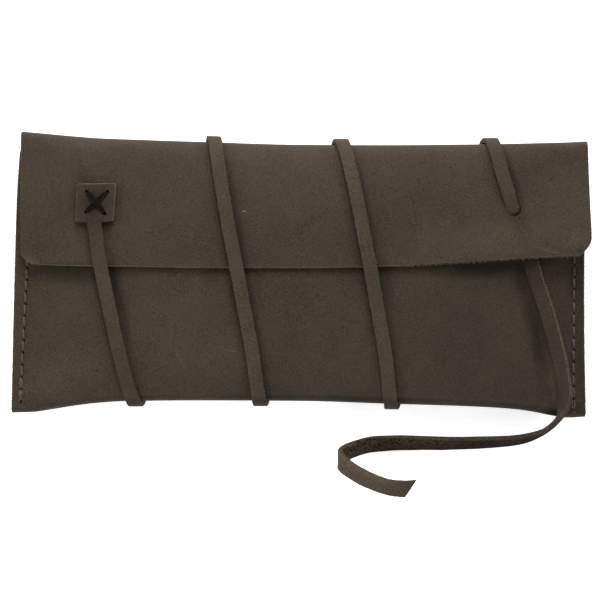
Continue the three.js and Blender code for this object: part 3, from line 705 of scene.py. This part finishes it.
# Darker patches where the loose end lies on the ground, and a lighter streak on its rough side.
TAIL_CUT_PATCHES = table(MARK, (75, -67, 120, 30, 3, -0.22), (97, -66.5, 32, 18, 20, -0.12))
TAIL_FLESH_PATCHES = table(MARK, (88, -67, 104, 30, 3, -0.68), (20.1, -71, 14, 3.4, 18, 1.2))

MIX_A, MIX_B, MIX_RESULT = 6, 7, 2  # a Mix node's sockets for colours


class Finish:
    """A material's node tree, built a node at a time."""

    def __init__(self, name):
        self.material = bpy.data.materials.new(name)
        self.material.use_nodes = True
        self.tree = self.material.node_tree
        self.shader = self.tree.nodes["Principled BSDF"]
        self.place = self.node("TexCoord", {}, "Object")

    def feed(self, socket, value):
        if isinstance(value, bpy.types.NodeSocket):
            self.tree.links.new(value, socket)
        else:
            socket.default_value = value

    def node(self, kind, inputs, output, **settings):
        """An output of a new node, whose inputs are fed by name or number."""
        made = self.tree.nodes.new("ShaderNode" + kind)
        for key, value in settings.items():
            setattr(made, key, value)
        for socket, value in inputs.items():
            self.feed(made.inputs[socket], value)
        return made.outputs[output]

    def noise(self, size, detail, rough, twist=0.0, place=None, output="Fac"):
        """Noise whose blotches are about size millimetres across."""
        inputs = {"Vector": place or self.place, "Scale": 1 / (size * MM), "Detail": detail,
                  "Roughness": rough, "Distortion": twist}
        return self.node("TexNoise", inputs, output)

    def fit(self, value, low, high, to_low, to_high):
        """A value, with its range brought to another one."""
        inputs = dict(enumerate((value, low, high, to_low, to_high)))
        return self.node("MapRange", inputs, "Result")

    def mottle(self, *noises):
        """Sum of noises, each with its weight and how far from 0.5 it swings."""
        total = 0.0
        for noise, weight, swing in noises:
            total = self.sum(total, self.fit(noise, 0.5 - swing, 0.5 + swing, 0, weight))
        return total

    def blend(self, factor, a, b):
        inputs = {"Factor": factor, MIX_A: a, MIX_B: b}
        return self.node("Mix", inputs, MIX_RESULT, data_type="RGBA")

    def sum(self, a, b):
        return self.node("Math", {0: a, 1: b}, 0)

    def patches(self, rows, reach):
        """How much lighter or darker a table of patches makes a place, 1 where there are none:
        wear, painted light and painted shade.
        """
        wander = self.noise(WANDER_SIZE, 2, 0.5, output="Color")
        inputs = {0: wander, 1: [WANDER * MM] * 3, 2: self.place}
        moved = self.node("VectorMath", inputs, 0, operation="MULTIPLY_ADD")
        total = 1.0
        for x, y, length, width, turn, light in zip(*rows.values()):
            inputs = {
                "Vector": moved,
                "Location": Vector((x + WANDER / 2, y + WANDER / 2, FRONT_TOP)) * MM,
                "Rotation": (0, 0, math.radians(turn)),
                "Scale": Vector((length / 2, width / 2, MARK_REACH[reach])) * MM,
            }
            spot = self.node("Mapping", inputs, "Vector", vector_type="TEXTURE")
            away = self.node("VectorMath", {0: spot}, "Value", operation="LENGTH")
            here = self.fit(away, *MARK_SOFTNESS, 0, light)
            total = self.sum(here, total)
        return total

    def lit(self, colour, gain):
        """A colour made that much lighter."""
        return self.node("VectorMath", {0: colour, "Scale": gain}, 0, operation="SCALE")

    def bump(self, height, depth, before=None):
        """Bump of so many millimetres, on top of an earlier one."""
        inputs = {"Strength": 1.0, "Distance": depth * MM, "Height": height}
        if before:
            inputs["Normal"] = before
        return self.node("Bump", inputs, "Normal")

    def done(self, colour, normal, roughness, sheen=0.0, specular=0.1):
        inputs = self.shader.inputs
        for name, value in (("Base Color", colour), ("Normal", normal), ("Roughness", roughness)):
            self.feed(inputs[name], value)
        inputs["Specular IOR Level"].default_value = specular
        inputs["Sheen Weight"].default_value = sheen
        return self.material


def grain_leather(name, tone, patch_table, reach="front"):
    """The smooth side: waxed nubuck, blotchy, with a fine nap, pores and faint scratches, and
    patches of painted light and shade.
    """
    f = Finish(name)
    dark, light, rubbed, pore = shades(tone, 0.6, 1.4, 1.35, 0.5)
    cloud = f.noise(34, detail=4, rough=0.5, twist=0.4)
    patch = f.noise(7, detail=4, rough=0.6)
    nap = f.noise(0.42, detail=1, rough=0.5)
    speck = f.noise(1.1, detail=2, rough=0.5)
    mottled = f.mottle((cloud, 0.16, 0.2), (patch, 0.13, 0.2),
                       (nap, 0.62, 0.2), (speck, 0.09, 0.2))
    streaks = {"Vector": f.place, "Scale": (1.0, 0.12, 1.0), "Rotation": (0, 0, 0.6)}
    rub = f.noise(1.2, detail=3, rough=0.6, place=f.node("Mapping", streaks, "Vector"))
    colour = f.blend(f.fit(rub, 0.66, 0.78, 0, 0.3), f.blend(mottled, dark, light), rubbed)
    pores = f.node("TexVoronoi", {"Vector": f.place, "Scale": 1 / (3.2 * MM)}, "Distance")
    colour = f.blend(f.fit(pores, 0.12, 0.048, 0, 0.14), colour, pore)
    # Patches: wear, and painted light and painted shade.
    colour = f.lit(colour, f.patches(patch_table, reach))
    normal = f.bump(patch, 0.22, f.bump(speck, 0.07, f.bump(nap, 0.06)))
    return f.done(colour, normal, f.fit(patch, 0.3, 0.7, 0.82, 0.95), sheen=0.03, specular=0.12)


# Raw stuff: its fine and its coarse noise, each with size, detail, roughness, twist, weight,
# swing and depth of bump.
RAW = {
    "inside": [(0.7, 2, 0.6, 0.6, 0.8, 0.12, 0.3), (2.2, 4, 0.7, 0, 0.2, 0.2, 0.3)],
    "cut": [(0.6, 3, 0.7, 0.6, 0.7, 0.16, 0.25), (1.8, 3, 0.7, 0, 0.3, 0.2, 0.25)],
    "thread": [(0.22, 2, 0.6, 0, 0.55, 0.2, 0.08), (1.6, 3, 0.6, 0, 0.45, 0.2, 0)],
}


def raw_stuff(name, kind, tone, dark, light, roughness=0.95, specular=0.1, patch_table=None):
    """Hairy inside of the leather, with painted shade that darkens it near the ground, its cut
    edge, or thread.
    """
    f = Finish(name)
    noises, normal = [], None
    for *form, weight, swing, depth in RAW[kind]:
        noise = f.noise(*form)
        noises.append((noise, weight, swing))
        if depth:
            normal = f.bump(noise, depth, normal)
    colour = f.blend(f.mottle(*noises), *shades(tone, dark, light))
    if kind == "inside":
        # painted shade: the inside is darker the nearer it lies to the ground
        height = f.node("SeparateXYZ", {0: f.place}, "Z")
        colour = f.lit(colour, f.fit(height, 0.5 * MM, 5 * MM, 0.6, 1.15))
    if patch_table:
        colour = f.lit(colour, f.patches(patch_table, "ground"))
    return f.done(colour, normal, roughness, specular=specular)


GRAIN = grain_leather("leather_grain", (77.3, 66.2, 55.2), WEAR_AND_PAINTED_LIGHT_AND_SHADE)
STRAP_GRAIN = grain_leather("strap_grain", (81.8, 69.4, 57.3), STRAP_PATCHES_AND_PAINTED_SHADE)
TAIL_GRAIN = grain_leather("strap_end_grain", (69, 58.8, 48.5), TAIL_PAINTED_LIGHT_AND_SHADE, "ground")
INSIDE = ("inside", (56, 46.5, 38), 0.2, 1.9, 0.95, 0.05)
FLESH = raw_stuff("leather_flesh", *INSIDE)
TAIL_FLESH = raw_stuff("strap_end_flesh", *INSIDE, TAIL_FLESH_PATCHES)
CUT = raw_stuff("leather_cut_edge", "cut", (112, 98, 84), 0.62, 1.38)
# A darker copy of the cut edge above, as painted shade along the wound strap's edges.
STRAP_CUT = raw_stuff("strap_cut_edge", "cut", (94, 81, 68), 0.62, 1.38)
TAIL_CUT = raw_stuff("strap_end_cut_edge", "cut", (88, 76, 64), 0.38, 1.62, patch_table=TAIL_CUT_PATCHES)
THREAD_GREY = raw_stuff("thread_grey", "thread", (112, 109, 103), 0.7, 1.2, roughness=0.7)
THREAD_DARK = raw_stuff("thread_dark", "thread", (29, 23.5, 15.5), 0.7, 1.2, roughness=0.9)


# ---- The pieces ----


def make_tail():
    """The strap's loose end, a flat cord of its real length."""
    line = smooth_line(np.stack([*TAIL_ROUTE.values()], -1), TAIL_STEPS)
    centre, look = line[:, :3], line[:, 3:]
    along = unit(np.gradient(centre, axis=0))
    normal = unit(look - along * (look * along).sum(1, keepdims=True))
    across = np.cross(normal, along)
    travelled = travel(centre)
    t = (travelled / travelled[-1])[:, None]
    rails = []
    for hand in (-1, 1):
        half = mix(STRAP_WIDTH, TIP_WIDTH, t) / 2
        half = half + EDGE_WANDER * waves(travelled, 13, seed=20 + hand)[:, None]
        slant = hand * TIP_SLANT * smooth((travelled - travelled[-1] + TIP_RUN) / TIP_RUN)[:, None]
        rails.append(centre + hand * half * across + slant * along - normal * TAIL_LEATHER / 2)
    inner, outer = band(*rails, TAIL_LEATHER, TAIL_CROWN)
    vertices, faces, parts, feet = closed_sheet(outer, inner, *CUTS["tail"])
    cut = np.flatnonzero(parts == 1)
    # The rim beside the smooth side takes the lighter cut edge: partly its own tone, partly a
    # painted highlight.
    parts[cut[: 2 * len(cut) // (1 + len(RIM["out"]))]] = 3  # lighter beside the smooth side
    materials = [TAIL_GRAIN, TAIL_CUT, TAIL_FLESH, CUT]
    tail = make_object("strap_loose_end", vertices, faces, materials, parts)
    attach(tail, "root")
    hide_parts("strap_tail")
    return feet


def merge(pieces):
    """One list of vertices and one of faces from many."""
    vertices, faces, start = [], [], 0
    for points, polygons in pieces:
        vertices.append(points)
        faces += [[start + int(i) for i in polygon] for polygon in polygons]
        start += len(points)
    return np.concatenate(vertices), faces


def cut_holes(target, holes):
    """Cuts closed meshes out of an object."""
    cutters = make_object("cutters", *merge(holes), [FLESH])
    cut = target.modifiers.new("cut", "BOOLEAN")
    cut.operation, cut.solver, cut.object = "DIFFERENCE", "MANIFOLD", cutters
    depsgraph = bpy.context.evaluated_depsgraph_get()
    target.data = bpy.data.meshes.new_from_object(target.evaluated_get(depsgraph))
    target.modifiers.clear()
    target.data.set_sharp_from_angle(angle=math.radians(CREASE))
    bpy.data.objects.remove(cutters)


def prism(outline, low, high):
    """Closed prism over an outline of points in the XY plane."""
    n = len(outline)
    ring = np.asarray(outline, float)
    vertices = np.concatenate([np.c_[ring, np.full(n, z)] for z in (low, high)])
    sides = [[i, (i + 1) % n, n + (i + 1) % n, n + i] for i in range(n)]
    return vertices, [list(range(n))[::-1], list(range(n, 2 * n)), *sides]


def oval(x, y, across, along, sides, angle):
    """Outline of an oval hole, from half its width and half its length."""
    a = np.arange(sides) / sides * 2 * math.pi
    u, v = across * np.cos(a), along * np.sin(a)
    c, s = math.cos(angle), math.sin(angle)
    return np.c_[x + u * c - v * s, y + u * s + v * c]


def slot_outline():
    """The slot's outline: a long hole with round ends."""
    top, bottom = np.array(SLOT_TOP), np.array(SLOT_BOTTOM)
    along = unit(bottom - top)
    side = np.array((-along[1], along[0]))
    radius = SLOT_WIDTH / 2
    turn = np.linspace(-math.pi / 2, math.pi / 2, 13)
    ends = []
    for centre, way in ((bottom - along * radius, 1), (top + along * radius, -1)):
        ends += [centre + way * radius * (math.cos(a) * along + math.sin(a) * side) for a in turn]
    return ends


def seam_holes(name):
    """The holes of a side seam, from the lowest up to just under the pocket's mouth."""
    low_x, low_y = SEAMS[name]["low"]
    mouth = section("top", np.array([low_x]))[0] - MOUTH_DROP
    y = np.arange(low_y, mouth - SEAM_END, SEAM_PITCH)
    return low_x + (y - low_y) * (SEAMS[name]["high_x"] - low_x) / (SEAM_TOP - low_y), y


def make_body():
    """The folded sheet, one piece of leather from the pocket's mouth to the flap's lower edge."""
    outer, inner = sheet_grid(0.0), sheet_grid(LEATHER)
    vertices, faces, parts, feet = closed_sheet(outer, inner, *CUTS["sheet"])
    body = make_object("pouch_sheet", vertices, faces, [GRAIN, CUT, FLESH], parts)
    holes = [prism(slot_outline(), *SLOT_CUT)]
    for name, seam in SEAMS.items():
        xs, ys = seam_holes(name)
        lows, highs = face(xs, ys, "back") - GAP, face(xs, ys, "front") + GAP / 2
        for x, y, low, high in zip(xs, ys, lows, highs):
            outline = oval(x, y, *seam["hole"], HOLE_SIDES, seam["lean"] / 3)
            holes += [prism(outline, low, MIDDLE - PLUG), prism(outline, MIDDLE + PLUG, high)]
    cut_holes(body, holes)
    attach(body, "root")
    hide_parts("pocket", "flap")
    return feet


def strap_wrinkles(x, y, z):
    """How deep the creases are that cross one turn of the strap, in front."""
    _, start, end, _ = PASSES[WRINKLES["pass"]]
    place = y + WRINKLES["slant"] * (x - start) + WRINKLES["wander"] * waves((x, y), 9, seed=31)
    crease = (0.5 + 0.5 * np.cos(2 * math.pi * place / WRINKLES["pitch"])) ** 4
    low, high = WRINKLES["reach"]
    here = smooth((y - low) / WRINKLES["fade"]) * smooth((high - y) / WRINKLES["fade"])
    here = here * (z > MIDDLE) * (np.abs(x - (start + end) / 2) < WRINKLES["aside"])
    return WRINKLES["depth"] * crease * here * (0.6 + 0.4 * waves((x, y), 12, seed=32))


def make_strap():
    """The tab and the wound strap."""
    left, right = strap_rail(-1), strap_rail(1)
    travelled = travel((left + right) / 2)
    across = unit(right - left) * EDGE_WANDER
    left = left + across * waves(travelled, 12, seed=11)[:, None]
    right = right + across * waves(travelled, 12, seed=12)[:, None]
    row = np.arange(len(left))
    sunk = strap_wrinkles(*np.moveaxis(between(left, right), -1, 0))
    upright = row >= len(row) - len(DIVE["x"])
    inner, outer = band(left, right, LEATHER, STRAP_CROWN, sunk, upright)
    round_off, *others = CUTS["strap"]
    round_off = np.where(row < TAB_STEPS, TAB_ROUND, round_off)
    vertices, faces, parts, feet = closed_sheet(outer, inner, round_off, *others)
    tab_middle = (TAB["x"][0], TAB["y"][2], FRONT_TOP)
    beside = np.abs(vertices[faces].mean(1) - tab_middle) < TAB_REACH
    parts = np.where((parts == 1) & beside.all(1), 3, parts)
    materials = [STRAP_GRAIN, STRAP_CUT, FLESH, CUT]
    strap = make_object("strap_and_tab", vertices, faces, materials, parts)
    holes = []
    for arm in STITCH_ARMS:
        slant = math.atan2(arm[0][1] - arm[1][1], arm[0][0] - arm[1][0])
        for x, y in arm:
            x, y = STITCH.x + x, STITCH.y + y
            top = strap_bed(np.array([x]), np.array([y]), "front")[0] + LEATHER
            outline = oval(x, y, *STITCH_HOLE, slant)
            holes.append(prism(outline, top - STITCH_HOLE_DEPTH, top + 1))
    cut_holes(strap, holes)
    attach(strap, "root")
    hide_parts("wrap_strap")
    return feet


def tube(path, radii, sides, plies, depth, turns):
    """Closed tube along a path, with a thread's plies wound round it."""
    along = unit(np.gradient(path, axis=0))
    side = unit(np.cross(along, UP))
    up = np.cross(side, along)
    a = np.arange(sides) / sides * 2 * math.pi
    swell = 1 + depth * np.cos(plies * a - turns * travel(path)[:, None])
    n = len(path)
    r = (np.broadcast_to(radii, n)[:, None] * swell)[..., None]
    out = np.cos(a)[:, None] * side[:, None] + np.sin(a)[:, None] * up[:, None]
    vertices = path[:, None] + r * out
    number = np.arange(n * sides).reshape(n, sides)
    ahead = np.roll(number, -1, 1)
    walls = np.stack([number[:-1], ahead[:-1], ahead[1:], number[1:]], -1).reshape(-1, 4)
    faces = [*walls.tolist(), number[0, ::-1].tolist(), number[-1].tolist()]
    return vertices.reshape(-1, 3), faces


def stitch(start, end, sheet, hole, bow=0.0, sunk=0.0):
    """A thread from hole to hole over one side of the pouch, and down into both."""
    length = np.linalg.norm(np.subtract(end, start))
    s, rise = np.transpose([(0.2, -1.3), (0.35, -0.8), (hole, -0.12), (hole + 0.3, 0.2),
                            (hole + 0.8, 0.34), (length / 2, 0.36)])
    s = np.append(s, length - s[-2::-1]) / length
    rise = np.append(rise, rise[-2::-1]) - sunk
    x = mix(start[0], end[0], s) + bow * np.sin(s * math.pi) ** 0.5
    y = mix(start[1], end[1], s)
    up = -1 if sheet == "back" else 1
    return np.stack([x, y, face(x, y, sheet) + up * rise], -1)


def make_seams():
    """The sewing of both side seams, front and back, its lowest stitches sewn twice."""
    threads = []
    for name, seam in SEAMS.items():
        xs, ys = seam_holes(name)
        hole = seam["hole"][1]
        for i, (low, high) in enumerate(zip(zip(xs, ys), zip(xs[1:], ys[1:]))):
            for sheet in ("front", "back"):
                aside = (high[0] - (seam["lean"] if sheet == "front" else 0), high[1])
                for bow in TWOFOLD if i < seam["twofold"] and sheet == "front" else (0.0,):
                    threads.append(stitch(low, aside, sheet, hole, bow))
        lows, highs = face(xs, ys, "back") + THROUGH[0], face(xs, ys, "front") - THROUGH[1]
        for x, y, low, high in zip(xs, ys, lows, highs):
            threads.append(np.linspace((x, y, low), (x + 0.02, y, high), 4))
    # on the right the last thread loops and goes round the bottom fold, on the left it is knotted
    x, y = SEAMS["right"]["low"]
    for bow in (-0.5, 0.55):
        threads.append(stitch((x, y - 0.3), (x - 0.2, y - 4.2), "front", 0.5, bow))
    threads.append(stitch((x + 0.1, y - 4.6), (x + 0.5, y - 6.4), "front", 0.3, 0, 0.42))
    x, y = SEAMS["left"]["low"]
    threads.append(stitch((x - 0.9, y + 0.9), (x - 0.3, y - 0.4), "front", 0.2, -0.2, 0.15))
    pieces = [tube(path, THREAD / 2, *THREAD_PLIES) for path in threads]
    made = make_object("seam_stitches", *merge(pieces), [THREAD_GREY], crease=SOFT_CREASE)
    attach(made, "root")


def make_crossed_stitch():
    """Two thick arms of dark cord, each of strands that spread in the middle."""
    strands = []
    t = np.linspace(0, 1, STRAND_STEPS)
    hump = np.sin(t * math.pi)
    for level, (start, end) in enumerate(STITCH_ARMS):
        start, end = np.array(start), np.array(end)
        side = unit(np.array((-(end - start)[1], (end - start)[0])))
        for aside in (-STRAND_ASIDE, STRAND_ASIDE):
            flat = mix(start, end, t[:, None]) + aside * (hump**0.3)[:, None] * side
            x, y = STITCH.x + flat[:, 0], STITCH.y + flat[:, 1]
            top = strap_bed(x, y, "front") + LEATHER + 0.1
            rise = STRAND_RISE + OVER * level * np.exp(-(((t - 0.5) / 0.16) ** 2))
            z = top + mix(-1.6, rise, smooth(np.minimum(t, 1 - t) / 0.05))
            radii = STRAND_RADII[0] + STRAND_RADII[1] * hump
            strands.append(tube(np.stack([x, y, z], -1), radii, *CORD_PLIES))
    made = make_object("crossed_stitch_cord", *merge(strands), [THREAD_DARK], crease=SOFT_CREASE)
    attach(made, "root")
    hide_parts("cross_stitch")


def raw_edge():
    """Tufts along the flap's lower edge, where it was left raw: their places and ways."""
    x = rng.uniform(*RAW_EDGE, TUFTS)
    x = x + 0.5 * waves(x, 2.2, RAGGED_SEED)
    y = flap_edge(x) + 0.1
    z = face(x, y, "flap") - rng.uniform(0.1, LEATHER - 0.1, TUFTS)
    way = np.stack([0.3 * rng.normal(size=TUFTS), np.full(TUFTS, -1.0), np.full(TUFTS, -0.1)], -1)
    return np.stack([slanted(x, y, "flap"), y, z], -1), unit(way)


def make_fuzz(edges):
    """The raw fibres along every cut edge, and the tufts of the flap's raw edge."""
    places, ways = map(np.concatenate, zip(*edges))
    places = places + rng.normal(size=places.shape) * FIBRE_SCATTER
    clear = places[:, 2] > FIBRES_ABOVE
    fine = fibres(places[clear], ways[clear], *FINE_FIBRES)
    coarse = fibres(*raw_edge(), *TUFT_FIBRES)
    made = make_object("edge_fibres", *merge([fine, coarse]), [CUT], crease=SOFT_CREASE)
    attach(made, "root")


# ---- Camera, light and floor ----


def make_camera():
    """Looks straight down on the pouch, tipped a little towards its bottom fold."""
    elevation, distance = math.radians(85), 1.2
    aim = Vector((-0.0008, -0.0109, 0.008))
    back = Vector((0, -math.cos(elevation), math.sin(elevation)))
    data = bpy.data.cameras.new("camera")
    data.lens, data.sensor_width = 170.8, 36
    camera = put("camera", data)
    camera.location = aim + back * distance
    camera.rotation_euler = (-back).to_track_quat("-Z", "Y").to_euler()
    scene.camera = camera


def make_studio():
    """A pale floor and soft lights, most of them beyond the top fold and the bottom fold."""
    floor_finish = bpy.data.materials.new("floor_paper")
    floor_finish.use_nodes = True
    for name, value in {
        "Base Color": (0.93, 0.93, 0.93, 1), "Roughness": 0.9, "Specular IOR Level": 0.1,
        "Emission Color": (1, 1, 1, 1), "Emission Strength": 0.68,
    }.items():
        floor_finish.node_tree.nodes["Principled BSDF"].inputs[name].default_value = value
    size = 3000
    corners = [(-size, -size, 0), (size, -size, 0), (size, size, 0), (-size, size, 0)]
    floor = make_object("floor", corners, [[0, 1, 2, 3]], [floor_finish])
    world = bpy.data.worlds.new("studio")
    world.use_nodes = True
    sky = world.node_tree.nodes["Background"].inputs
    sky["Color"].default_value, sky["Strength"].default_value = (1, 1, 1, 1), 0.3
    scene.world = world
    for name, place, width, power in (
        ("top", (0.0, 0.8, 0.7), 0.6, 10.4),
        ("low_top", (0.0, 0.95, 0.3), 0.6, 7.6),
        ("left", (-0.9, 0.1, 0.35), 0.45, 4.3),
        ("right", (0.9, 0.1, 0.35), 0.45, 2.6),
        ("front", (0.0, -0.95, 0.2), 0.6, 9.2),
    ):
        data = bpy.data.lights.new(name, "AREA")
        data.size, data.energy = width, power
        lamp = put(name, data)
        lamp.location = place
        lamp.rotation_euler = (-Vector(place)).to_track_quat("-Z", "Y").to_euler()
    scene.view_settings.view_transform = "Standard"


make_camera()
tail_edge = make_tail()
body_edge = make_body()
strap_edge = make_strap()
make_crossed_stitch()
make_seams()
make_fuzz([tail_edge, body_edge, strap_edge])
make_studio()
